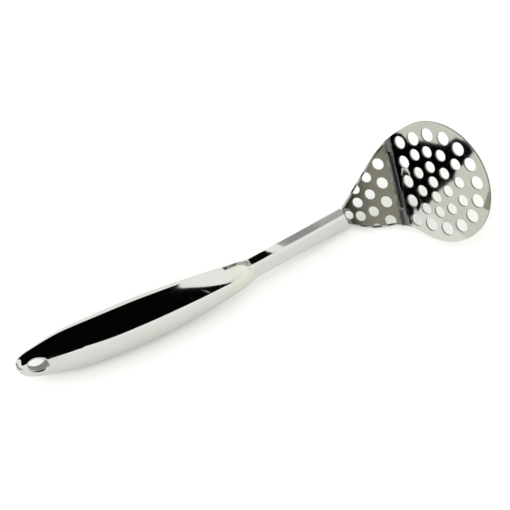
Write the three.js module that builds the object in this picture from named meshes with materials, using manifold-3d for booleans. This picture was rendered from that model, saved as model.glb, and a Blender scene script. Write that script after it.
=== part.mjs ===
import * as THREE from 'three';
import { mergeVertices } from 'three/addons/utils/BufferGeometryUtils.js';
import Module from 'manifold-3d';

// Stainless steel hand masher: a perforated round plate folded up from a fan
// shaped neck, a hollow box shank and a hollow two-shell grip with a hanging hole.
// Units are millimetres. The shank runs along X, with the plate at its +X end.

// Sheet head. u runs from the fan over the fold to the plate, v along the fold.
const sheet = 1.2;               // thickness of the perforated steel
const plateRadius = 38.3;        // round masher plate
const plateReach = 32.4;         // fold to plate centre
const plateJoin = 114;           // the round edge ends this far round from the tip, degrees
const joinAlong = 0.45;          // how the edge curves from the round part to the fold
const joinOutBottom = 0.3;
const joinOutTop = 0.5;
const foldAngle = 20;            // the plate tilts up from the fan, degrees
const foldTop = 26.6;            // sheet edge at the fold, +v side
const foldBottom = 28.6;         // sheet edge at the fold, -v side
const foldRodRadius = 0.65;      // rounds the outside of the fold
const foldRodInset = 0.1;        // the rod stops short of the sheet's edges
const beadRadius = 1.6;          // stiffening bead that fills the fold
const beadHalfLength = 18;       // the bead is centred on the plate axis
const neckLength = 36.8;         // fold to the shank end
const neckOffset = 19.2;         // the shank end lies this far off the plate axis
const neckWidth = 12.4;          // fan width where it meets the shank
const neckSkew = 16;             // the end of the fan is cut square to the shank
const shoulderBack = 10;         // where the fan's +v edge changes direction
const shoulderStep = 7.8;
const footShare = 0.6;           // the -v edge turns at this share of the neck's length
const flangeHeight = 4;          // edges of the fan turned down
const flangeMiddle = 2;          // their height at the shoulder
const flangeFoot = 3;            // and where the -v edge turns
const flangeProud = 0.1;         // the turned edges stand this far out of the fan's outline
const tongueLength = 14;         // strip that enters the shank
const tongueWidth = 7;

// Holes
const ringRadius = 29.7;         // pitch radius of the outer holes
const ringStep = 22.6;           // degrees between outer holes
const ringSide = 5;              // outer holes on each side of the plate axis
const bigHole = 4.3;             // radius of the outer holes
const smallHole = 3.65;          // radius of the inner holes
const joinHole = 4;              // radius of the plate holes nearest the fold
const fanHole = 3.7;             // radius of the fan holes nearest the fold
const fanMiddleHole = 3.35;
const fanBackHole = 3.3;
const fanEndHole = 2.8;
const rowPitch = 12.4;           // between holes of one column, along v
const innerPitch = 11.45;
const middlePitch = 9.55;        // the column through the plate's centre is closer set
const outerPitch = 11.25;
const drillReach = 10;           // beyond the sheet on each side
const rimDepth = 1.9;            // how far the fan's holes reach into its flanges

// Shank
const shankLength = 68;
const shankWidth = 12.2;
const shankHeight = 7.8;
const shankCorner = 2.2;
const shankWall = 1.2;
const shankPlug = 16;            // length of shank inside the grip
const neckClearance = 1;         // shank end to the fan
const fitGap = 0.3;

// Grip
const gripLength = 154;
const gripWidth = 32;
const gripDepth = 21.5;
const gripWall = 1.2;
const tailDepth = 0.62;          // the tail is flattened to this share of the grip's roundness
const tailRun = 70;              // length over which it flattens
const gripDroop = 0.12;          // slope of the grip away from the shank axis
const gripBow = 0.00055;         // further droop with the square of the distance
const hangHoleLength = 12;
const hangHoleWidth = 9;
const hangHoleInset = 13.5;      // tip of the grip to the hole centre
const tailSolid = 27;            // length of the tail where the shells close up
const collarLength = 4;          // weld collar around the shank
const collarWall = 1.1;

// Attitude of the head on the shank, degrees
const headYaw = -5.3;
const headPitch = -33.7;
const headRoll = -15.7;

// Attitude of the masher lying on a flat surface, degrees
const lieRoll = 61.1;
const liePitch = 5.2;

const wasm = await Module();
wasm.setup();

const turn = (degrees) => THREE.MathUtils.degToRad(degrees);
const far = 400;                 // longer than any piece, for cutting blocks

function toSolid(geometry) {
  const bare = geometry.index ? geometry.toNonIndexed() : geometry.clone();
  bare.deleteAttribute('normal');
  bare.deleteAttribute('uv');
  const merged = mergeVertices(bare, 1e-4);
  const corners = merged.index.array;
  const kept = [];
  for (let i = 0; i < corners.length; i += 3) {
    const [a, b, c] = [corners[i], corners[i + 1], corners[i + 2]];
    if (a !== b && b !== c && c !== a) kept.push(a, b, c);
  }
  return new wasm.Manifold(new wasm.Mesh({
    numProp: 3,
    vertProperties: new Float32Array(merged.attributes.position.array),
    triVerts: new Uint32Array(kept),
  }));
}

function toGeometry(solid) {
  const mesh = solid.getMesh();
  const geometry = new THREE.BufferGeometry();
  geometry.setAttribute('position', new THREE.BufferAttribute(mesh.vertProperties, 3));
  geometry.setIndex(new THREE.BufferAttribute(mesh.triVerts, 1));
  geometry.computeVertexNormals();
  return geometry;
}

function steelMesh(name, geometry, color, roughness) {
  const material = new THREE.MeshStandardMaterial({ color, roughness, metalness: 1 });
  const mesh = new THREE.Mesh(geometry, material);
  mesh.name = name;
  return mesh;
}

// A flat blank centred on its own plane.
function blank(shape) {
  const settings = { depth: sheet, bevelEnabled: false, curveSegments: 32 };
  return new THREE.ExtrudeGeometry(shape, settings).translate(0, 0, -sheet / 2);
}

// A rod along v at the fold.
function foldRod(radius, from, to) {
  return new THREE.CylinderGeometry(radius, radius, to - from, 16)
    .translate(0, (from + to) / 2, 0);
}

// A drill that stops at the given depth, so that turned-down edges keep their rims.
function drill(u, v, radius, depth = drillReach) {
  return new THREE.CylinderGeometry(radius, radius, drillReach + depth, 16)
    .rotateX(Math.PI / 2)
    .translate(u, v, (drillReach - depth) / 2);
}

const foldUp = (geometry) => geometry.rotateY(-turn(foldAngle));

function plateShape() {
  const join = turn(plateJoin);
  const [x, y] = [plateReach + plateRadius * Math.cos(join), plateRadius * Math.sin(join)];
  const shape = new THREE.Shape();
  shape.moveTo(0, -foldBottom);
  shape.splineThru([
    new THREE.Vector2(x * joinAlong, -foldBottom - (y - foldBottom) * joinOutBottom),
    new THREE.Vector2(x, -y),
  ]);
  shape.absarc(plateReach, 0, plateRadius, -join, join, false);
  shape.splineThru([
    new THREE.Vector2(x * joinAlong, foldTop + (y - foldTop) * joinOutTop),
    new THREE.Vector2(0, foldTop),
  ]);
  return shape;
}

// Corners of the fan, from the fold round the shank end and back.
const halfNeck = neckWidth / 2;
const endShift = halfNeck * Math.tan(turn(neckSkew));
const fanCorners = {
  foldTop: new THREE.Vector2(0, foldTop),
  shoulder: new THREE.Vector2(-shoulderBack, foldTop - shoulderStep),
  endTop: new THREE.Vector2(-neckLength - endShift, halfNeck - neckOffset),
  endBottom: new THREE.Vector2(-neckLength + endShift, -halfNeck - neckOffset),
  bottom: new THREE.Vector2(-neckLength * footShare, -foldBottom),
  foldBottom: new THREE.Vector2(0, -foldBottom),
};

// A turned-down edge between two corners, deepest at the first.
function flange(from, to, depthFrom, depthTo) {
  const run = to.clone().sub(from);
  const shape = new THREE.Shape();
  shape.moveTo(0, 0);
  shape.lineTo(run.length(), 0);
  shape.lineTo(run.length(), -depthTo);
  shape.lineTo(0, -depthFrom);
  return new THREE.ExtrudeGeometry(shape, { depth: sheet, bevelEnabled: false })
    .rotateX(Math.PI / 2)
    .translate(0, sheet - flangeProud, 0)
    .rotateZ(run.angle())
    .translate(from.x, from.y, sheet / 2 - flangeProud);
}

// Holes of the fan in columns beside the fold, narrowing towards the shank.
const fanColumns = [
  { u: -9, middle: -6.5, pitch: 12.2, count: 4, radius: fanHole },
  { u: -18.5, middle: -12.3, pitch: 11.1, count: 4, radius: fanMiddleHole },
  { u: -27.5, middle: -15.5, pitch: 8.8, count: 4, radius: fanBackHole },
  { u: -34.7, middle: -18.4, pitch: 0, count: 1, radius: fanEndHole },
];

// Columns of the plate, measured from its centre, inside the ring of large holes.
const plateColumns = [
  { u: -22.4, middle: 0, pitch: rowPitch, count: 5, radius: joinHole },
  { u: -12.7, middle: 0, pitch: innerPitch, count: 4, radius: smallHole },
  { u: -2.9, middle: 0, pitch: middlePitch, count: 5, radius: smallHole },
  { u: 6.9, middle: 0, pitch: outerPitch, count: 4, radius: smallHole },
  { u: 16.6, middle: 0, pitch: innerPitch, count: 3, radius: smallHole },
];

function columnDrills(columns, reach, depth = drillReach) {
  return columns.flatMap(({ u, middle, pitch, count, radius }) => (
    Array.from({ length: count }, (_, i) => (
      drill(reach + u, middle + (i - (count - 1) / 2) * pitch, radius, depth)
    ))
  ));
}

function ringDrills() {
  const drills = [];
  for (let i = -ringSide; i <= ringSide; i += 1) {
    const angle = turn(i * ringStep);
    const [u, v] = [ringRadius * Math.cos(angle), ringRadius * Math.sin(angle)];
    drills.push(drill(plateReach + u, v, bigHole));
  }
  return drills;
}

function headSolid() {
  const corners = fanCorners;
  const fanHoles = columnDrills(fanColumns, 0, rimDepth);
  const plateHoles = [...ringDrills(), ...columnDrills(plateColumns, plateReach)];
  const folds = [
    flange(corners.foldTop, corners.shoulder, sheet, flangeMiddle),
    flange(corners.shoulder, corners.endTop, flangeMiddle, flangeHeight),
    flange(corners.endBottom, corners.bottom, flangeHeight, flangeFoot),
    flange(corners.bottom, corners.foldBottom, flangeFoot, sheet),
  ];
  let solid = toSolid(blank(new THREE.Shape(Object.values(corners))));
  for (const piece of folds) solid = solid.add(toSolid(piece));
  for (const hole of fanHoles) solid = solid.subtract(toSolid(hole));
  let plate = toSolid(foldUp(blank(plateShape())));
  for (const hole of plateHoles) plate = plate.subtract(toSolid(foldUp(hole)));
  return solid.add(plate)
    .add(toSolid(foldRod(foldRodRadius, foldRodInset - foldBottom, foldTop - foldRodInset)))
    .add(toSolid(foldRod(beadRadius, -beadHalfLength, beadHalfLength)));
}

// The head hangs on a frame whose origin is the shank end.
const headFrame = new THREE.Matrix4()
  .makeRotationFromEuler(new THREE.Euler(turn(headRoll), turn(headPitch), turn(headYaw), 'ZYX'))
  .multiply(new THREE.Matrix4().makeTranslation(neckLength, neckOffset, 0));

// The strip behind the fan, which lies along the shank and is welded inside it.
function tongueSolid() {
  const strip = new THREE.BoxGeometry(tongueLength, tongueWidth, sheet)
    .translate(-tongueLength / 2, 0, 0);
  const knuckle = new THREE.CylinderGeometry(sheet, sheet, tongueWidth, 16);
  return toSolid(strip).add(toSolid(knuckle));
}

// A rounded rectangle of the shank's size, grown by some margin.
function shankOutline(margin) {
  const [w, h] = [shankHeight / 2 + margin, shankWidth / 2 + margin];
  const r = Math.max(shankCorner + margin, 0.4);
  const shape = new THREE.Shape();
  shape.absarc(w - r, h - r, r, 0, Math.PI / 2, false);
  shape.absarc(r - w, h - r, r, Math.PI / 2, Math.PI, false);
  shape.absarc(r - w, r - h, r, Math.PI, Math.PI * 1.5, false);
  shape.absarc(w - r, r - h, r, Math.PI * 1.5, Math.PI * 2, false);
  return shape;
}

// A prism of the shank's section from x = start to x = end.
function shankPrism(start, end, outer, inner = null) {
  const shape = shankOutline(outer);
  if (inner !== null) shape.holes.push(shankOutline(inner));
  const settings = { depth: end - start, bevelEnabled: false, curveSegments: 5 };
  return new THREE.ExtrudeGeometry(shape, settings)
    .rotateY(Math.PI / 2)
    .translate(start, 0, 0);
}

// The grip's half width along its length, as shares of its length and half width.
const gripOutline = [
  [0, 0], [0.012, 0.32], [0.035, 0.5], [0.085, 0.66], [0.22, 0.93], [0.386, 1],
  [0.565, 0.985], [0.77, 0.82], [0.94, 0.59], [1, 0.52],
].map(([s, r]) => new THREE.Vector2(r * gripWidth / 2, s * gripLength));

// A body of revolution along X that starts at the tail and is flattened in depth.
function gripLathe(inset, from) {
  const start = -shankLength - gripLength;
  const profile = new THREE.SplineCurve(gripOutline).getPoints(36)
    .map((p) => new THREE.Vector2(Math.max(p.x - inset, 0), p.y))
    .filter((p) => p.y >= from && (p.x > 0 || from === 0));
  profile.unshift(new THREE.Vector2(0, profile[0].y));
  profile.push(new THREE.Vector2(0, profile.at(-1).y));
  return new THREE.LatheGeometry(profile, 32)
    .rotateZ(-Math.PI / 2)
    .translate(start, 0, 0)
    .scale(1, 1, gripDepth / gripWidth);
}

// Flattens grip geometry towards its tail.
function flattenTail(geometry) {
  const place = geometry.attributes.position;
  const tip = -shankLength - gripLength;
  for (let i = 0; i < place.count; i += 1) {
    const share = THREE.MathUtils.smoothstep(place.getX(i) - tip, 0, tailRun);
    place.setZ(i, place.getZ(i) * THREE.MathUtils.lerp(tailDepth, 1, share));
  }
  return geometry;
}

// Bends grip geometry away from the shank's axis behind the shank's own end.
function droop(geometry) {
  const place = geometry.attributes.position;
  for (let i = 0; i < place.count; i += 1) {
    const back = Math.max(-shankLength - shankPlug / 2 - place.getX(i), 0);
    place.setZ(i, place.getZ(i) - gripDroop * back - gripBow * back * back);
  }
  return geometry;
}

// A cutting block on one side of the grip's seam.
function seamBlock(side) {
  const block = new THREE.BoxGeometry(gripLength + 20, gripWidth * 2, gripDepth * 2, 60, 1, 1);
  const height = side * (gripDepth - fitGap / 2);
  return droop(block.translate(-shankLength - gripLength / 2, 0, height));
}

function hangHole() {
  const shape = new THREE.Shape();
  const tip = -shankLength - gripLength;
  shape.absellipse(tip + hangHoleInset, 0, hangHoleLength / 2, hangHoleWidth / 2, 0, Math.PI * 2);
  return new THREE.ExtrudeGeometry(shape, { depth: far, bevelEnabled: false, curveSegments: 12 })
    .translate(0, 0, -far / 2);
}

function gripSolids() {
  const bore = shankPrism(-shankLength - shankPlug - fitGap, 0, fitGap);
  const wall = gripWall * gripWidth / gripDepth;
  const shell = toSolid(droop(flattenTail(gripLathe(0, 0))))
    .subtract(toSolid(droop(flattenTail(gripLathe(wall, tailSolid)))))
    .subtract(toSolid(bore))
    .subtract(toSolid(hangHole()));
  return {
    grip_upper_shell: shell.subtract(toSolid(seamBlock(-1))),
    grip_lower_shell: shell.subtract(toSolid(seamBlock(1))),
  };
}

const shank = shankPrism(-shankLength - shankPlug, -neckClearance, 0, -shankWall);
const collar = shankPrism(-shankLength + fitGap, -shankLength + collarLength,
  fitGap + collarWall, fitGap);
const head = headSolid().transform(headFrame.elements).add(tongueSolid());

const masher = new THREE.Group();
masher.add(steelMesh('perforated_head', toGeometry(head), 0xb9bbb8, 0.3));
masher.add(steelMesh('shank', shank, 0xc6c9c7, 0.2));
masher.add(steelMesh('weld_collar', collar, 0xc9cbc5, 0.3));
for (const [name, solid] of Object.entries(gripSolids())) {
  masher.add(steelMesh(name, toGeometry(solid), 0xc8cacb, 0.12));
}
masher.rotation.set(turn(lieRoll), turn(liePitch), 0, 'YXZ');
masher.updateMatrixWorld(true);

// The origin is under the middle of the whole masher, on the surface it lies on.
const extent = new THREE.Box3().setFromObject(masher, true);
const middle = extent.getCenter(new THREE.Vector3());
masher.position.set(-middle.x, -middle.y, -extent.min.z);

export default masher;
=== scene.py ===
# Stainless steel hand masher: finished surfaces around the CAD frame.
import math
import bpy
from mathutils import Euler, Matrix, Vector
from mathutils.geometry import delaunay_2d_cdt


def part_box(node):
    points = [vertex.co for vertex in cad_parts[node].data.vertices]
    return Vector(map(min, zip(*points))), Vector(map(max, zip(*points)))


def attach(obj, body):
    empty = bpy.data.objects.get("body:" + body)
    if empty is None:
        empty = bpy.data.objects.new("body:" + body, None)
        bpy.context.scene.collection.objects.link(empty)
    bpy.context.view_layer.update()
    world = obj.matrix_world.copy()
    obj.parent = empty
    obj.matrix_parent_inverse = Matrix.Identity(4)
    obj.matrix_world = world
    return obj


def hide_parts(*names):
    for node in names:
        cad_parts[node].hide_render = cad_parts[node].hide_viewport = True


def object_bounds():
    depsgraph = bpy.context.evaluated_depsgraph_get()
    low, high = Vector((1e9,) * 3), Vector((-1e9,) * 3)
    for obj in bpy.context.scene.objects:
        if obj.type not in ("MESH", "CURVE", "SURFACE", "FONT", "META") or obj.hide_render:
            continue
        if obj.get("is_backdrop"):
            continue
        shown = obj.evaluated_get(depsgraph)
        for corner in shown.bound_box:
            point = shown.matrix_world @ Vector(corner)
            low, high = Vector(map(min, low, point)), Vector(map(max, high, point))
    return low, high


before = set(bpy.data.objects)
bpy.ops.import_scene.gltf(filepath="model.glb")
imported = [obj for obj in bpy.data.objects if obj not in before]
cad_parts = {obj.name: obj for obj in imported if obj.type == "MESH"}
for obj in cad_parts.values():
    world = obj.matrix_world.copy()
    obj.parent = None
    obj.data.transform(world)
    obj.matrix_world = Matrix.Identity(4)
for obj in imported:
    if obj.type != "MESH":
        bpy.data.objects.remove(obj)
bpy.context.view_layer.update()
print("frame loaded")

mm = 0.001

# How the masher lies, and where the shank sits along its own axis, in degrees and millimetres.
attitude = {"lieRoll": 61.1, "liePitch": 5.2, "headYaw": -5.3, "headPitch": -33.7, "headRoll": -15.7}
shank = {
    "back": -84.0, "front": -1.0, "halfWidth": 5.6, "halfHeight": 4.2, "corner": 1.7,
    "roll": 12.0, "recess": 0.7, "crown": 0.14, "rimRound": 0.35, "step": 1.5,
    "mouthInset": 2.6, "mouthRise": 0.3,
}


def turned(axis, degrees):
    return Matrix.Rotation(math.radians(degrees), 3, axis)


lieTurn = turned("Y", attitude["liePitch"]) @ turned("X", attitude["lieRoll"])
headTurn = turned("Z", attitude["headYaw"]) @ turned("Y", attitude["headPitch"])
headTurn = headTurn @ turned("X", attitude["headRoll"])

low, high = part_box("shank")
shankMiddle = (Vector(low) + Vector(high)) / 2 / mm
origin = shankMiddle - lieTurn @ Vector(((shank["back"] + shank["front"]) / 2, 0, 0))


def placed(p):
    # From the shank's own axes in millimetres to the frame in metres.
    return (lieTurn @ Vector(p) + origin) * mm


def smooth(x, low, high):
    t = min(max((x - low) / (high - low), 0), 1)
    return t * t * (3 - 2 * t)


def mix(a, b, t):
    return a + (b - a) * t


def throughPoints(points, count):
    # A smooth curve through 2D points, in equal steps of its parameter.
    out = []
    last = len(points) - 1
    for i in range(count + 1):
        p = last * i / count
        k = min(int(p), last - 1)
        w = p - k
        p0, p1, p2, p3 = points[max(k - 1, 0)], points[k], points[k + 1], points[min(k + 2, last)]
        out.append(tuple(
            (2 * b - 2 * c + 0.5 * (c - a) + 0.5 * (d - b)) * w ** 3
            + (-3 * b + 3 * c - (c - a) - 0.5 * (d - b)) * w ** 2
            + 0.5 * (c - a) * w + b
            for a, b, c, d in zip(p0, p1, p2, p3)
        ))
    return out


def linear(hexColour):
    parts = [int(hexColour[i:i + 2], 16) / 255 for i in (1, 3, 5)]
    return [c / 12.92 if c <= 0.04045 else ((c + 0.055) / 1.055) ** 2.4 for c in parts] + [1]


def addNode(tree, kind, settings=None, links=None):
    node = tree.nodes.new(kind)
    for key, value in (settings or {}).items():
        if isinstance(key, str) and hasattr(node, key):
            setattr(node, key, value)
        else:
            node.inputs[key].default_value = value
    for key, socket in (links or {}).items():
        tree.links.new(socket, node.inputs[key])
    return node


def steel(name, turn, look, zones=()):
    # Metal whose colour, gloss and relief vary along the piece's own axes. A zone is a length of the
    # piece with a look of its own, such as the dressed weld.
    material = bpy.data.materials.new(name)
    material.use_nodes = True
    tree = material.node_tree
    tree.nodes.clear()
    place = addNode(tree, "ShaderNodeTexCoord")
    own = tuple(turn.inverted().to_euler())

    def grain(lengths, detail, seed=0.0):
        # Noise whose cells are the given millimetres long on the three axes.
        scale = tuple(1 / (s * mm) for s in lengths)
        # The rotation comes before the scale, so it is a mapping of its own.
        aligned = addNode(tree, "ShaderNodeMapping", {"Rotation": own}, {"Vector": place.outputs["Object"]})
        stretched = addNode(tree, "ShaderNodeMapping", {"Scale": scale, "Location": (seed, seed, seed)},
                            {"Vector": aligned.outputs[0]})
        noise = addNode(tree, "ShaderNodeTexNoise", {"Scale": 1.0, "Detail": detail, "Roughness": 0.55},
                        {"Vector": stretched.outputs[0]})
        return noise.outputs["Fac"]

    cloud = grain(look["cloudSize"], 3.0)
    lines = grain(look["lineSize"], 2.0, 7.0)
    tint = addNode(tree, "ShaderNodeMix", {"data_type": "RGBA"}, {0: cloud})
    tint.inputs["A"].default_value = linear(look["light"])
    tint.inputs["B"].default_value = linear(look["dark"])
    gloss = addNode(tree, "ShaderNodeMapRange",
                    {"From Min": 0.3, "From Max": 0.7, "To Min": look["gloss"][0], "To Max": look["gloss"][1]},
                    {"Value": cloud})
    marks = addNode(tree, "ShaderNodeMapRange",
                    {"From Min": 0.55, "From Max": 0.75, "To Min": 0.0, "To Max": look["lineGloss"]},
                    {"Value": lines})
    rough = addNode(tree, "ShaderNodeMath", {"operation": "ADD", "use_clamp": True},
                    {0: gloss.outputs[0], 1: marks.outputs[0]})
    wave = addNode(tree, "ShaderNodeBump", {"Strength": look["wave"], "Distance": look["waveHeight"] * mm},
                   {"Height": grain(look["waveSize"], 0.0, 3.0)})
    fine = addNode(tree, "ShaderNodeBump", {"Strength": look["line"], "Distance": look["lineHeight"] * mm},
                   {"Height": lines, "Normal": wave.outputs[0]})
    colour, roughness, normal = tint.outputs["Result"], rough.outputs[0], fine.outputs[0]
    for zone in zones:
        aligned = addNode(tree, "ShaderNodeMapping", {"Rotation": own}, {"Vector": place.outputs["Object"]})
        along = addNode(tree, "ShaderNodeSeparateXYZ", {}, {0: aligned.outputs[0]}).outputs["X"]
        uneven = grain((6, 6, 6), 2.0, 11.0)
        # The ends of a zone wander by a few millimetres.
        wander = addNode(tree, "ShaderNodeMath", {"operation": "MULTIPLY_ADD", 1: 5 * mm},
                         {0: uneven, 2: along})
        start = (turn.inverted() @ origin).x
        edges = [(start + x) * mm for x in zone["span"]]
        rise = addNode(tree, "ShaderNodeMapRange",
                       {"interpolation_type": "SMOOTHSTEP", "From Min": edges[0], "From Max": edges[1]},
                       {"Value": wander.outputs[0]})
        fall = addNode(tree, "ShaderNodeMapRange",
                       {"interpolation_type": "SMOOTHSTEP", "From Min": edges[2], "From Max": edges[3],
                        "To Min": 1.0, "To Max": 0.0},
                       {"Value": wander.outputs[0]})
        both = addNode(tree, "ShaderNodeMath", {"operation": "MULTIPLY"},
                       {0: rise.outputs[0], 1: fall.outputs[0]})
        mask = both.outputs[0]
        # The zone's colour: heat tint at the weld, a painted grey reflection on the fan, a painted dark
        # reflection on the bead.
        heatTintAndPaintedShade = addNode(tree, "ShaderNodeMix", {"data_type": "RGBA"}, {0: mask})
        tree.links.new(colour, heatTintAndPaintedShade.inputs["A"])
        heatTintAndPaintedShade.inputs["B"].default_value = linear(zone["colour"])
        duller = addNode(tree, "ShaderNodeMath", {"operation": "MULTIPLY_ADD", 1: zone["gloss"]},
                         {0: mask, 2: roughness})
        ripple = addNode(tree, "ShaderNodeBump", {"Distance": zone["ripple"] * mm},
                         {"Strength": mask, "Height": grain((4, 4, 4), 1.0, 5.0), "Normal": normal})
        colour, roughness, normal = heatTintAndPaintedShade.outputs["Result"], duller.outputs[0], ripple.outputs[0]
    shader = addNode(tree, "ShaderNodeBsdfPrincipled", {"Metallic": 1.0},
                     {"Base Color": colour, "Roughness": roughness, "Normal": normal})
    addNode(tree, "ShaderNodeOutputMaterial", {}, {"Surface": shader.outputs[0]})
    return material


# Where the grip is welded to the shank, ground flush and mopped: duller, and straw coloured by the heat.
weldZone = {"span": (-80, -74, -65, -61), "colour": "#cfcfc4", "gloss": 0.16, "ripple": 0.12}
# The drawn shank was buffed less than the grip, so its reflections run into each other.
shankZone = {"span": (-46, -36, 4, 8), "colour": "#cbcbc7", "gloss": 0.1, "ripple": 0.0}
buffed = {
    "light": "#cfcfcb", "dark": "#c4c4bf",
    "cloudSize": (30, 12, 12), "lineSize": (9, 0.35, 0.35), "waveSize": (26, 9, 9),
    "gloss": (0.03, 0.07), "lineGloss": 0.05,
    "wave": 0.25, "waveHeight": 0.12, "line": 0.05, "lineHeight": 0.01,
}
# Stainless steel, drawn and then buffed lengthways on a soft wheel: a mirror with a slow ripple
# and a haze of hairlines that only show where the light turns.
mirrorSteel = steel("buffed_stainless_steel", lieTurn, buffed, (shankZone, weldZone))
weldSteel = steel("dressed_weld_steel", lieTurn, buffed, (weldZone,))
# The fan is the same sheet, polished less than the plate: duller, and its colour painted a little darker and
# warmer, a painted grey reflection.
fanDullPaintedGreyZone = {"span": (-10, -9, 36, 38), "colour": "#bdbcb2", "gloss": 0.14, "ripple": 0.02}
# The bead and the bend are rougher, and their colour is painted dark: a painted dark reflection.
beadPaintedDarkZone = {"span": (36, 38, 41, 43), "colour": "#6f6f70", "gloss": 0.2, "ripple": 0.02}
# Stainless sheet, rolled, punched, then brushed across the fold: softer reflections, with a
# grain drawn coarser than the real 0.05 mm so that it shows.
sheetSteel = steel("brushed_stainless_sheet", lieTurn @ headTurn, {
    "light": "#cccbc5", "dark": "#bebdb6",
    "cloudSize": (16, 16, 16), "lineSize": (0.3, 8, 8), "waveSize": (24, 24, 24),
    "gloss": (0.02, 0.04), "lineGloss": 0.02,
    "wave": 0.2, "waveHeight": 0.1, "line": 0.06, "lineHeight": 0.008,
}, (fanDullPaintedGreyZone, beadPaintedDarkZone))
# The cut edges of the same sheet: sheared by the punch, half torn, never polished.
punchedSteel = steel("punched_steel_edge", lieTurn @ headTurn, {
    "light": "#86857c", "dark": "#5c5b54",
    "cloudSize": (3, 3, 3), "lineSize": (0.5, 0.5, 6), "waveSize": (3, 3, 3),
    "gloss": (0.3, 0.42), "lineGloss": 0.1,
    "wave": 0.3, "waveHeight": 0.1, "line": 0.3, "lineHeight": 0.02,
})
print("materials made")


def makePiece(name, points, faces, material, slot, *nodes):
    mesh = bpy.data.meshes.new(name)
    mesh.from_pydata([tuple(p) for p in points], [], faces)
    mesh.validate()
    mesh.update()
    piece = bpy.data.objects.new(name, mesh)
    bpy.context.scene.collection.objects.link(piece)
    mesh.materials.append(material)
    for face in mesh.polygons:
        face.use_smooth = True
    mesh.set_sharp_from_angle(angle=math.radians(42))
    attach(piece, "root")
    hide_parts(*nodes)
    return piece


def ringFaces(rows, closed=True):
    # Quads between rows of vertex numbers.
    faces = []
    for a, b in zip(rows, rows[1:]):
        n = len(a)
        for i in range(n if closed else n - 1):
            j = (i + 1) % n
            faces.append((a[i], a[j], b[j], b[i]))
    return faces


grip = {
    "length": 154.0, "width": 32.0, "depth": 21.5, "tailDepth": 0.62, "tailRun": 70.0,
    "droop": 0.12, "bow": 0.00055, "droopStart": -76.0, "neck": -68.0, "weldStart": -75.0,
    "holeInset": 13.5, "holeLength": 12.0, "holeWidth": 9.0, "holeRim": 1.3,
    "around": 72, "tailRowsEnd": 1.9, "tailRows": 14, "step": 1.25, "blockReach": 9.2, "blockSpread": 9,
    "ringSteps": 7, "rimSteps": 6, "ease": 5.0,
}
gripOutline = [
    (0, 0), (0.012, 0.32), (0.035, 0.5), (0.085, 0.66), (0.22, 0.93), (0.386, 1),
    (0.565, 0.985), (0.77, 0.82), (0.94, 0.59), (1, 0.52),
]
tip = grip["neck"] - grip["length"]
fineOutline = throughPoints(gripOutline, 900)
profile = [(tip + s * grip["length"], max(r, 0) * grip["width"] / 2) for s, r in fineOutline]


def halfWidth(x):
    # Half width of the grip at x, read off its outline.
    lo, hi = 0, len(profile) - 1
    while hi - lo > 1:
        mid = (lo + hi) // 2
        lo, hi = (mid, hi) if profile[mid][0] <= x else (lo, mid)
    (xa, ra), (xb, rb) = profile[lo], profile[hi]
    return mix(ra, rb, min(max((x - xa) / max(xb - xa, 1e-9), 0), 1))


def halfDepth(x):
    share = mix(grip["tailDepth"], 1, smooth(x, tip, tip + grip["tailRun"]))
    return halfWidth(x) * grip["depth"] / grip["width"] * share


def axisDrop(x):
    # The grip bends away from the shank's line, easing in over a few millimetres.
    back = grip["droopStart"] - x
    ease = grip["ease"]
    if back <= -ease:
        return 0.0
    if back < ease:
        back = (back + ease) ** 2 / (4 * ease)
    return -grip["droop"] * back - grip["bow"] * back * back


def gripSurface(x, y, side):
    inside = max(1 - (y / halfWidth(x)) ** 2, 0)
    return axisDrop(x) + side * halfDepth(x) * math.sqrt(inside)


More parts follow.
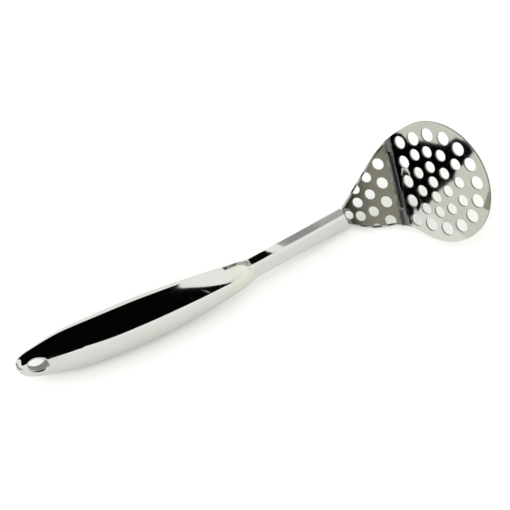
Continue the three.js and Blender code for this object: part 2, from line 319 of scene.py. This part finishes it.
def makeGrip():
    around = grip["around"]
    holeX = tip + grip["holeInset"]
    a, b = grip["holeLength"] / 2, grip["holeWidth"] / 2
    rim = grip["holeRim"]
    # Rows crowd together at the tail, where the outline turns fastest.
    crowded = grip["tailRows"]
    stations = [tip + grip["tailRowsEnd"] * (i / crowded) ** 2 for i in range(1, crowded)]
    x = tip + grip["tailRowsEnd"]
    while x < grip["weldStart"] - 0.4:
        stations.append(x)
        x += grip["step"]
    stations.append(grip["weldStart"])
    points, rows = [], []
    for x in stations:
        row = []
        for j in range(around):
            angle = 2 * math.pi * j / around
            row.append(len(points))
            points.append((x, halfWidth(x) * math.cos(angle), axisDrop(x) + halfDepth(x) * math.sin(angle)))
        rows.append(row)
    first = min(i for i, x in enumerate(stations) if x >= holeX - grip["blockReach"])
    final = max(i for i, x in enumerate(stations) if x <= holeX + grip["blockReach"])
    spread = grip["blockSpread"]
    faces, openings = [], []
    blocks = {1: around // 4, -1: 3 * around // 4}
    for i in range(len(rows) - 1):
        for j in range(around):
            besideHole = any(abs((j + 0.5) - middle) < spread for middle in blocks.values())
            if not (first <= i < final and besideHole):
                k = (j + 1) % around
                faces.append((rows[i][j], rows[i][k], rows[i + 1][k], rows[i + 1][j]))
    tail = len(points)
    points.append((tip, 0, axisDrop(tip)))
    faces += [(tail, rows[0][(j + 1) % around], rows[0][j]) for j in range(around)]
    # The neck end closes inside the weld.
    neck = len(points)
    points.append((grip["weldStart"], 0, axisDrop(grip["weldStart"])))
    faces += [(neck, rows[-1][j], rows[-1][(j + 1) % around]) for j in range(around)]
    # The surface runs on from each opened block to the rounded rim of the hanging hole.
    for side, middle in blocks.items():
        lowJ, highJ = middle - spread, middle + spread
        loop = [rows[first][j] for j in range(lowJ, highJ)]
        loop += [rows[i][highJ] for i in range(first, final)]
        loop += [rows[final][j] for j in range(highJ, lowJ, -1)]
        loop += [rows[i][lowJ] for i in range(final, first, -1)]
        angles = [math.atan2(points[k][1] / b, (points[k][0] - holeX) / a) for k in loop]
        ring = loop
        steps = grip["ringSteps"]
        for step in range(1, steps + 1):
            row = []
            for k, angle in zip(loop, angles):
                t = step / steps
                x = mix(points[k][0], holeX + (a + rim) * math.cos(angle), t)
                y = mix(points[k][1], (b + rim) * math.sin(angle), t)
                row.append(len(points))
                points.append((x, y, gripSurface(x, y, side)))
            faces += ringFaces([ring, row])
            ring = row
        for step in range(1, grip["rimSteps"] + 1):
            turn = math.pi / 2 * step / grip["rimSteps"]
            out = rim * (1 - math.sin(turn))
            sink = rim * (1 - math.cos(turn))
            row = []
            for angle in angles:
                x = holeX + (a + out) * math.cos(angle)
                y = (b + out) * math.sin(angle)
                row.append(len(points))
                points.append((x, y, gripSurface(x, y, side) - side * sink))
            faces += ringFaces([ring, row])
            ring = row
        openings.append((ring, angles))
    (upper, upperAngles), (lower, lowerAngles) = openings
    # Both rims are read in the same turning order, then joined by the wall of the hole.
    order = sorted(range(len(upper)), key=lambda k: upperAngles[k])
    upper = [upper[k] for k in order]
    order = sorted(range(len(lower)), key=lambda k: lowerAngles[k])
    lower = [lower[k] for k in order]
    wall = [upper]
    for step in (1, 2):
        row = []
        for k, m in zip(upper, lower):
            row.append(len(points))
            points.append(tuple(mix(p, q, step / 3) for p, q in zip(points[k], points[m])))
        wall.append(row)
    wall.append(lower)
    holeFaces = ringFaces(wall)
    return [placed(p) for p in points], faces + holeFaces, len(holeFaces)


gripPoints, gripFaces, holeFaceCount = makeGrip()
gripPiece = makePiece("grip", gripPoints, gripFaces, mirrorSteel, "polished_steel",
                      "grip_upper_shell", "grip_lower_shell")
# The wall of the hanging hole was never buffed.
gripPiece.data.materials.append(punchedSteel)
for face in list(gripPiece.data.polygons)[-holeFaceCount:]:
    face.material_index = 1
print("grip made")


def roundedBox(halfY, halfZ, corner, crown, steps=8, side=6):
    # A rounded rectangle with faintly crowned sides, counter-clockwise in Y and Z.
    out = []
    y, z = halfY - corner, halfZ - corner
    centres = [(y, z, 0), (-y, z, 90), (-y, -z, 180), (y, -z, 270)]
    for n, (cy, cz, start) in enumerate(centres):
        for i in range(steps + 1):
            angle = math.radians(start + 90 * i / steps)
            out.append((cy + corner * math.cos(angle), cz + corner * math.sin(angle)))
        ny, nz, _ = centres[(n + 1) % 4]
        begin = out[-1]
        angle = math.radians(start + 90)
        normal = (math.cos(angle), math.sin(angle))
        end = (ny + corner * normal[0], nz + corner * normal[1])
        for i in range(1, side):
            t = i / side
            rise = crown * (1 - (2 * t - 1) ** 2)
            out.append(tuple(mix(p, q, t) + rise * w for p, q, w in zip(begin, end, normal)))
    roll = math.radians(shank["roll"])
    c, d = math.cos(roll), math.sin(roll)
    return [(c * y - d * z, d * y + c * z) for y, z in out]


def endCap(points, row, shift, flip):
    # A fan of triangles that closes a row, and its middle point on the axis.
    centre = len(points)
    points.append((points[row[0]][0] + shift, 0, 0))
    n = len(row)
    pairs = [(row[i], row[(i + 1) % n]) for i in range(n)]
    return [(centre, b, a) if flip else (centre, a, b) for a, b in pairs]


def makeShank():
    s = shank
    stations = []
    x = s["back"]
    while x < s["front"] - 1.0:
        stations.append(x)
        x += s["step"]
    rimRound = s["rimRound"]
    points, rows = [], []

    def addRow(x, inset):
        row = []
        corner = max(s["corner"] - inset, 0.5)
        for y, z in roundedBox(s["halfWidth"] - inset, s["halfHeight"] - inset, corner, s["crown"]):
            row.append(len(points))
            points.append((x, y, z))
        rows.append(row)

    for x in stations:
        addRow(x, 0)
    for i in range(0, 5):
        turn = math.pi / 2 * i / 4
        addRow(s["front"] - rimRound + rimRound * math.sin(turn), rimRound * (1 - math.cos(turn)))
    # The mouth is filled by the weld of the fan's tongue, a little below the rim.
    for i in range(1, 5):
        turn = math.pi / 2 * i / 4
        addRow(s["front"] - s["recess"] * (1 - math.cos(turn)), rimRound + s["recess"] * math.sin(turn))
    addRow(s["front"] - s["recess"] + s["mouthRise"], s["mouthInset"])
    faces = ringFaces(rows) + endCap(points, rows[0], 0.0, True) + endCap(points, rows[-1], 0.1, False)
    return [placed(p) for p in points], faces


makePiece("shank_tube", *makeShank(), mirrorSteel, "polished_steel", "shank")

weld = {"front": -64.5, "proud": 0.1, "rows": 36}


def makeWeld():
    # The dressed weld runs from the grip's oval end down to the shank's rounded box.
    w = weld
    points, rows = [], []
    for i in range(w["rows"] + 1):
        t = i / w["rows"]
        x = mix(grip["weldStart"], w["front"], t)
        halfY, halfZ = shank["halfWidth"] + w["proud"], shank["halfHeight"] + w["proud"]
        box = roundedBox(halfY, halfZ, shank["corner"], shank["crown"])
        blend = smooth(x, grip["weldStart"] + 2.0, w["front"] - 0.5)
        edge = 0.3 * smooth(x, w["front"] - 1.2, w["front"])
        row = []
        for y, z in box:
            angle = math.atan2(z / shank["halfHeight"], y / shank["halfWidth"])
            ovalY = halfWidth(min(x, grip["neck"])) * math.cos(angle)
            ovalZ = axisDrop(x) + halfDepth(min(x, grip["neck"])) * math.sin(angle)
            py = mix(ovalY, y - edge * math.cos(angle), blend)
            pz = mix(ovalZ, z - edge * math.sin(angle), blend)
            row.append(len(points))
            points.append((x, py, pz))
        rows.append(row)
    faces = ringFaces(rows) + endCap(points, rows[0], 0.0, True) + endCap(points, rows[-1], 0.0, False)
    return [placed(p) for p in points], faces


makePiece("neck_weld", *makeWeld(), weldSteel, "weld_steel", "weld_collar")
print("shank and weld made")


head = {
    "sheet": 1.2, "plateRadius": 38.3, "plateReach": 32.4, "fold": 20.0, "foldTop": 26.6, "foldBottom": 28.6,
    "neckLength": 36.8, "neckOffset": 19.2, "neckWidth": 12.4, "neckSkew": 16.0,
    "flange": 4.0, "bend": 1.0, "foldRun": 2.6, "plateCrown": 0.7,
    "beadHeight": 1.15, "beadHalfWidth": 2.2, "beadHalfLength": 16.4,
    "ringRadius": 29.7, "ringStep": 22.6, "ringSide": 5, "bigHole": 4.3, "rimLeft": 1.5,
    "tongue": 3.6, "tongueSides": (0.16, 0.84), "join": 114.0, "punchRadius": 0.22,
}
# Distances between the points that the sheet's mesh is made of.
spacing = {
    "grid": 1.7, "edge": 0.9, "bend": 0.18, "closest": 0.12,
    "beadAcross": 0.42, "beadAlong": 0.9, "beadEnds": 0.45, "beadGap": 0.3, "endReach": 2.5,
    "alongRange": (-42.0, 72.0), "acrossRange": (-40.0, 40.0),
}
# Columns of holes along the fold: distance from the fold, middle, pitch, count, radius.
fanColumns = [
    (-9, -6.5, 12.2, 4, 3.7), (-18.5, -12.3, 11.1, 4, 3.35),
    (-27.5, -15.5, 8.8, 4, 3.3), (-34.7, -18.4, 0, 1, 2.8),
]
# The same for the plate, from its centre.
plateColumns = [
    (-22.4, 0, 12.4, 5, 4.0), (-12.7, 0, 11.45, 4, 3.65), (-2.9, 0, 9.55, 5, 3.65),
    (6.9, 0, 11.25, 4, 3.65), (16.6, 0, 11.45, 3, 3.65),
]

halfNeck = head["neckWidth"] / 2
endShift = halfNeck * math.tan(math.radians(head["neckSkew"]))
topEnd = (-head["neckLength"] - endShift, halfNeck - head["neckOffset"])
bottomEnd = (-head["neckLength"] + endShift, -halfNeck - head["neckOffset"])
# Corners of the fan's two edges: the top one from the fold to the shank, the bottom one back again.
topCorners = [
    (0, head["foldTop"]), (-5, head["foldTop"] - 3.9), (-10, head["foldTop"] - 7.8), (-24, 3.2), topEnd,
]
bottomCorners = [
    bottomEnd, (-28, -27.2), (-0.6 * head["neckLength"], -head["foldBottom"]),
    (-11, -head["foldBottom"]), (0, -head["foldBottom"]),
]


def softened(path, turns=4):
    # Rounds the corners of a path, keeping its ends.
    for _ in range(turns):
        out = [path[0]]
        for p, q in zip(path, path[1:]):
            out += [(mix(p[0], q[0], t), mix(p[1], q[1], t)) for t in (0.25, 0.75)]
        path = out + [path[-1]]
    return path


def evenly(path, step):
    lengths = [0]
    for p, q in zip(path, path[1:]):
        lengths.append(lengths[-1] + math.dist(p, q))
    count = max(int(lengths[-1] / step + 0.5), 1)
    out, k = [], 0
    for i in range(count + 1):
        want = lengths[-1] * i / count
        while k < len(path) - 2 and lengths[k + 1] < want:
            k += 1
        t = (want - lengths[k]) / max(lengths[k + 1] - lengths[k], 1e-9)
        out.append((mix(path[k][0], path[k + 1][0], t), mix(path[k][1], path[k + 1][1], t)))
    return out


topPath = evenly(softened(topCorners), spacing["edge"])
bottomPath = evenly(softened(bottomCorners), spacing["edge"])


def flangeDrop(u):
    # How far the turned-down edge hangs below the sheet's middle, from nothing at the fold.
    share = min(max(-u / head["neckLength"], 0), 1)
    return mix(0.0, head["flange"] - 0.6, share ** 0.8)


def bendOf(u):
    # Bend angle, inset of the turned edge, and the flat length of the edge beyond the bend's start.
    drop = flangeDrop(u)
    radius = head["bend"]
    angle = math.acos(max(1 - drop / radius, 0.05)) if drop < radius else math.radians(87)
    inset = 0.5 * smooth(-u, 0, 6)
    straight = max(drop - radius * (1 - math.cos(angle)), 0) / math.sin(angle) if angle > 0.01 else 0
    return angle, inset, radius * angle + straight


def edgeFrame(path, p):
    # Signed distance outside the edge, foot point and outward direction.
    best = min(range(len(path)), key=lambda i: (path[i][0] - p[0]) ** 2 + (path[i][1] - p[1]) ** 2)
    found = None
    for i in (best - 1, best):
        if 0 <= i < len(path) - 1:
            (ax, ay), (bx, by) = path[i], path[i + 1]
            dx, dy = bx - ax, by - ay
            length = math.hypot(dx, dy)
            t = ((p[0] - ax) * dx + (p[1] - ay) * dy) / length ** 2
            if 0 < i and t < 0 or i < len(path) - 2 and t > 1:
                t = min(max(t, 0), 1)
            foot = (ax + dx * t, ay + dy * t)
            away = math.dist(foot, p)
            if found is None or away < found[0]:
                # Both paths run with the sheet on their left.
                out = (dy / length, -dx / length)
                signed = (p[0] - foot[0]) * out[0] + (p[1] - foot[1]) * out[1]
                found = (away, signed, foot, out)
    return found[1:]


def topFrame(p):
    return edgeFrame(topPath, p)


def bottomFrame(p):
    return edgeFrame(bottomPath, p)


def beadRise(u, v):
    away = math.hypot(u, max(abs(v) - head["beadHalfLength"], 0)) / head["beadHalfWidth"]
    return head["beadHeight"] * (1 - away * away) ** 1.5 if away < 1 else 0.0


def foldCurve(u):
    # Along and up from the fold line, and the sheet's tilt there.
    full, run = math.radians(head["fold"]), head["foldRun"]
    radius = 2 * run / full
    if u <= -run:
        return u, 0.0, 0.0
    tilt = full * min((u + run) / (2 * run), 1)
    along, up = -run + radius * math.sin(tilt), radius * (1 - math.cos(tilt))
    if u > run:
        along += (u - run) * math.cos(full)
        up += (u - run) * math.sin(full)
    return along, up, tilt


def headPoint(u, v):
    # From the flat blank, with its edges unrolled, to the shank's axes.
    sink = 0.0
    if u < 0:
        for signed, foot, out in (topFrame((u, v)), bottomFrame((u, v))):
            angle, inset, _ = bendOf(foot[0])
            start = -inset - head["bend"] * math.sin(angle)
            if signed > start and angle > 0.01:
                run = signed - start
                turn = min(run / head["bend"], angle)
                rest = max(run - head["bend"] * angle, 0)
                reach = start + head["bend"] * math.sin(turn) + rest * math.cos(angle)
                sink = head["bend"] * (1 - math.cos(turn)) + rest * math.sin(angle)
                u, v = foot[0] + out[0] * reach, foot[1] + out[1] * reach
    along, up, tilt = foldCurve(u)
    lift = beadRise(u, v) - sink
    if u > 0:
        fromCentre = math.hypot(u - head["plateReach"], v) / head["plateRadius"]
        lift += head["plateCrown"] * (1 - fromCentre ** 2) * smooth(u, 0, 16)
    p = Vector((along - math.sin(tilt) * lift, v, up + math.cos(tilt) * lift))
    return headTurn @ (p + Vector((head["neckLength"], head["neckOffset"], 0)))


def holeList():
    holes = []
    for k in range(-head["ringSide"], head["ringSide"] + 1):
        angle = math.radians(k * head["ringStep"])
        u, v = head["ringRadius"] * math.cos(angle), head["ringRadius"] * math.sin(angle)
        holes.append((head["plateReach"] + u, v, head["bigHole"]))
    for columns, reach in ((plateColumns, head["plateReach"]), (fanColumns, 0)):
        for u, middle, pitch, count, radius in columns:
            holes += [(reach + u, middle + (i - (count - 1) / 2) * pitch, radius) for i in range(count)]
    return holes


def blankOutline():
    # The outline of the flat blank, counter-clockwise, starting at the bottom of the fold.
    join = math.radians(head["join"])
    reach, radius, step = head["plateReach"], head["plateRadius"], spacing["edge"]
    jx, jy = reach + radius * math.cos(join), radius * math.sin(join)
    low, high = head["foldBottom"], head["foldTop"]
    lowSide = throughPoints([(0, -low), (jx * 0.45, -low - (jy - low) * 0.3), (jx, -jy)], 60)
    rounded = []
    for i in range(181):
        angle = join * (i / 90 - 1)
        rounded.append((reach + radius * math.cos(angle), radius * math.sin(angle)))
    highSide = throughPoints([(jx, jy), (jx * 0.45, high + (jy - high) * 0.5), (0, high)], 60)
    outline = evenly(lowSide, step)[:-1] + evenly(rounded, step)[:-1] + evenly(highSide, step)[:-1]
    for frameOf, path in ((topFrame, topPath), (bottomFrame, bottomPath)):
        if path is bottomPath:
            # The tongue that enters the shank.
            top, foot = topPath[-1], bottomPath[0]
            near, far = head["tongueSides"]
            for across, along in ((near, 0), (near, head["tongue"]), (far, head["tongue"]), (far, 0)):
                outline.append((mix(top[0], foot[0], across) - along, mix(top[1], foot[1], across)))
        for p in path:
            _, foot, out = frameOf(p)
            angle, inset, flat = bendOf(p[0])
            away = flat - inset - head["bend"] * math.sin(angle)
            outline.append((p[0] + out[0] * away, p[1] + out[1] * away))
    return outline[:-1]


def insidePath(p, path):
    inside = False
    for (ax, ay), (bx, by) in zip(path, path[1:] + path[:1]):
        if (ay > p[1]) != (by > p[1]) and p[0] < (bx - ax) * (p[1] - ay) / (by - ay) + ax:
            inside = not inside
    return inside


def makeHead():
    outline = blankOutline()
    holes = holeList()
    flat, edges = list(outline), [(i, (i + 1) % len(outline)) for i in range(len(outline))]
    hollow = []
    closest = spacing["closest"]
    for u, v, radius in holes:
        count = 32
        loop = []
        for i in range(count):
            angle = 2 * math.pi * i / count
            p = (u + radius * math.cos(angle), v + radius * math.sin(angle))
            # Where a hole runs into a turned edge, a rim is left below it.
            if p[0] < 0:
                for frameOf in (topFrame, bottomFrame):
                    signed, foot, out = frameOf(p)
                    angleEnd, inset, length = bendOf(foot[0])
                    most = length - inset - head["bend"] * math.sin(angleEnd) - head["rimLeft"]
                    if signed > most:
                        p = (foot[0] + out[0] * most, foot[1] + out[1] * most)
            if not loop or math.dist(loop[-1], p) > closest:
                loop.append(p)
        if math.dist(loop[-1], loop[0]) < closest:
            loop.pop()
        hollow.append(loop)
        start = len(flat)
        flat += loop
        edges += [(start + i, start + (i + 1) % len(loop)) for i in range(len(loop))]
    # Inner points: close together at the bead and the turned edges, wider on the flats.
    cells = {}

    def tooClose(p, gap):
        cu, cv = int(p[0] // 2), int(p[1] // 2)
        around = [(cu + i, cv + j) for i in (-1, 0, 1) for j in (-1, 0, 1)]
        return any(math.dist(p, q) < gap for cell in around for q in cells.get(cell, ()))

    def addInner(p, gap):
        if tooClose(p, gap):
            return
        if any(math.dist(p, (u, v)) < radius + gap * 0.7 for u, v, radius in holes):
            return
        if insidePath(p, outline):
            flat.append(p)
            cells.setdefault((int(p[0] // 2), int(p[1] // 2)), []).append(p)

    for p in flat:
        cells.setdefault((int(p[0] // 2), int(p[1] // 2)), []).append(p)
    for path in (topPath, bottomPath):
        frameOf = topFrame if path is topPath else bottomFrame
        for p in path:
            _, foot, out = frameOf(p)
            angle, inset, length = bendOf(p[0])
            start = -inset - head["bend"] * math.sin(angle)
            for i in range(0, 6):
                away = start - 0.3 + (head["bend"] * angle + 0.5) * i / 5
                if away < start + length - 0.25:
                    addInner((p[0] + out[0] * away, p[1] + out[1] * away), spacing["bend"])
    v = -head["foldBottom"] + 0.8
    while v < head["foldTop"] - 0.5:
        for i in range(-8, 9):
            addInner((i * spacing["beadAcross"], v), spacing["beadGap"])
        nearEnd = abs(abs(v) - head["beadHalfLength"] - 1) < spacing["endReach"]
        v += spacing["beadEnds"] if nearEnd else spacing["beadAlong"]
    step = spacing["grid"]
    row = 0
    v = spacing["acrossRange"][0]
    while v < spacing["acrossRange"][1]:
        u = spacing["alongRange"][0] + (step / 2 if row % 2 else 0)
        while u < spacing["alongRange"][1]:
            addInner((u, v), step * 0.55)
            u += step
        v += step * 0.866
        row += 1
    points, _, triangles, _, _, _ = delaunay_2d_cdt([Vector(p) for p in flat], edges, [], 0, 1e-5)
    kept = []
    for tri in triangles:
        centre = tuple(sum(points[k][i] for k in tri) / len(tri) for i in (0, 1))
        if not insidePath(centre, outline):
            continue
        pairs = zip(holes, hollow)
        near = [loop for (u, v, radius), loop in pairs if math.dist(centre, (u, v)) < radius + 0.5]
        if any(insidePath(centre, loop) for loop in near):
            continue
        kept.append(tuple(tri))
    used = sorted({k for tri in kept for k in tri})
    number = {k: i for i, k in enumerate(used)}
    solidPoints = [placed(headPoint(*points[k])) for k in used]
    return solidPoints, [tuple(number[k] for k in tri) for tri in kept]


headPiece = makePiece("perforated_plate", *makeHead(), sheetSteel, "satin_steel", "perforated_head")
thick = headPiece.modifiers.new("sheet", "SOLIDIFY")
thick.thickness = head["sheet"] * mm
thick.offset = 0
thick.use_even_offset = True
headPiece.data.materials.append(punchedSteel)
thick.material_offset_rim = 1
edge = headPiece.modifiers.new("punched edges", "BEVEL")
edge.width = head["punchRadius"] * mm
edge.segments = 2
edge.limit_method = "ANGLE"
edge.angle_limit = math.radians(50)
edge.harden_normals = True
print("head made", len(headPiece.data.vertices))

# A long lens from high up on the near side, so that the view is almost without perspective.
view = {"lens": 211.76, "place": (0.08023, -0.87175, 1.60606), "turn": (24.723, 16.535, -27.164), "far": 20}
camera = bpy.data.objects.new("camera", bpy.data.cameras.new("camera"))
bpy.context.scene.collection.objects.link(camera)
camera.data.lens = view["lens"]
camera.data.clip_end = view["far"]
camera.location = view["place"]
camera.rotation_euler = Euler([math.radians(a) for a in view["turn"]])
bpy.context.scene.camera = camera

studio = {"floorSize": 6.0, "skyStrength": 1.3, "floorTone": "#f6f6f4"}


def matte(name, hexColour):
    material = bpy.data.materials.new(name)
    material.use_nodes = True
    shader = material.node_tree.nodes["Principled BSDF"]
    shader.inputs["Base Color"].default_value = linear(hexColour)
    shader.inputs["Roughness"].default_value = 0.9
    shader.inputs["Specular IOR Level"].default_value = 0.0
    return material


def stagePiece(name, points, faces, material):
    mesh = bpy.data.meshes.new(name)
    mesh.from_pydata(points, [], faces)
    obj = bpy.data.objects.new(name, mesh)
    bpy.context.scene.collection.objects.link(obj)
    mesh.materials.append(material)
    obj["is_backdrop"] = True
    return obj


half = studio["floorSize"] / 2
corners = [(-half, -half, 0), (half, -half, 0), (half, half, 0), (-half, half, 0)]
stagePiece("floor", corners, [(0, 1, 2, 3)], matte("pale_floor", studio["floorTone"]))

flagBlack = matte("black_flag", "#050505")


def flag(name, points, material, faces=None):
    # A card that is only seen in the steel, one flat face unless its faces are given.
    obj = stagePiece(name, points, faces or [tuple(range(len(points)))], material)
    obj.visible_camera = False
    obj.visible_diffuse = False
    obj.visible_shadow = False
    return obj


# A long black canopy over the masher, open low down on both sides. Its lean is measured from the zenith.
canopy = {
    "radius": 0.7, "behind": 62.0, "before": -78.0,
    "left": -1.2, "right": 0.0, "rightBehind": 0.06, "steps": 28,
}
points, faces = [], []
for i in range(canopy["steps"] + 1):
    lean = math.radians(mix(canopy["behind"], canopy["before"], i / canopy["steps"]))
    right = mix(canopy["rightBehind"], canopy["right"], smooth(i / canopy["steps"], 0, 0.6))
    for x in (canopy["left"], right):
        points.append((x, canopy["radius"] * math.sin(lean), canopy["radius"] * math.cos(lean)))
for i in range(canopy["steps"]):
    faces.append((2 * i, 2 * i + 1, 2 * i + 3, 2 * i + 2))
flag("canopy", points, flagBlack, faces)

# Upright cards beyond the tail, which the plate mirrors: a black one cut to shape before a pale one.
plateCards = {
    "x": -1.1, "pale": "#e6e6e1",
    "black": [(-0.015, 0.001), (0.15, 0.001), (0.15, 0.1), (0.08, 0.105), (0.055, 0.13), (-0.005, 0.165),
              (-0.02, 0.2), (-0.05, 0.21), (-0.07, 0.2), (-0.06, 0.155), (-0.05, 0.135), (-0.05, 0.105),
              (-0.035, 0.075), (-0.025, 0.04)],
    "back": [(-0.19, 0.0005), (0.16, 0.0005), (0.16, 0.15), (0.05, 0.19), (-0.02, 0.225), (-0.19, 0.225)],
    "gap": 0.004,
}
flag("plate_card", [(plateCards["x"], y, z) for y, z in plateCards["black"]], flagBlack)
outline = [(plateCards["x"] - plateCards["gap"], y, z) for y, z in plateCards["back"]]
flag("plate_back_card", outline, matte("pale_card", plateCards["pale"]))

# A grey card that faces the fan, clear from behind so that the grip does not mirror it.
fanCard = {
    "x": -0.03, "tone": "#a5a49b",
    "outline": [(-0.095, 0.045), (-0.055, 0.045), (-0.05, 0.08), (-0.03, 0.095), (-0.03, 0.12), (-0.095, 0.12)],
}
oneSided = matte("one_sided_grey_card", fanCard["tone"])
cardTree = oneSided.node_tree
behind = addNode(cardTree, "ShaderNodeNewGeometry").outputs["Backfacing"]
clear = addNode(cardTree, "ShaderNodeBsdfTransparent").outputs[0]
facing = cardTree.nodes["Principled BSDF"].outputs[0]
either = addNode(cardTree, "ShaderNodeMixShader", {}, {0: behind, 1: facing, 2: clear})
cardTree.links.new(either.outputs[0], cardTree.nodes["Material Output"].inputs["Surface"])
flag("fan_card", [(fanCard["x"], y, z) for y, z in fanCard["outline"]], oneSided)

# Black between the plate's cards and the fan's, for the fold, and black on the floor for the plate's low part.
foldCard = {"x": -0.25, "outline": [(-0.18, 0.05), (-0.085, 0.02), (-0.085, 0.12), (-0.18, 0.3)]}
flag("fold_card", [(foldCard["x"], y, z) for y, z in foldCard["outline"]], flagBlack)
tailCard = {"z": 0.0007, "outline": [(-1.1, 0.0), (-0.2, 0.0), (-0.2, 0.08), (-1.1, 0.08)]}
flag("tail_card", [(x, y, tailCard["z"]) for x, y in tailCard["outline"]], flagBlack)
# Slanting strips behind the shank, one after another along its upper face.
shankCards = {
    "y": 0.1, "top": 0.15, "lean": 0.028,
    "strips": [
        ("neck_card", -0.002, 0.014, "#0a0a0a"),
        ("shank_card", 0.023, 0.05, "#a3a7a9"),
        ("shoulder_card", 0.05, 0.11, "#bfc1bc"),
    ],
}
for name, start, end, tone in shankCards["strips"]:
    y, top, lean = shankCards["y"], shankCards["top"], shankCards["lean"]
    corners = [(start, y, 0.0), (end, y, 0.0), (end + lean, y, top), (start + lean, y, top)]
    flag(name, corners, matte(name, tone))

world = bpy.data.worlds.new("studio")
bpy.context.scene.world = world
world.use_nodes = True
sky = world.node_tree.nodes["Background"]
sky.inputs["Color"].default_value = linear("#ffffff")
sky.inputs["Strength"].default_value = studio["skyStrength"]
bpy.context.scene.view_settings.view_transform = "Standard"
print("studio ready")

low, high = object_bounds()
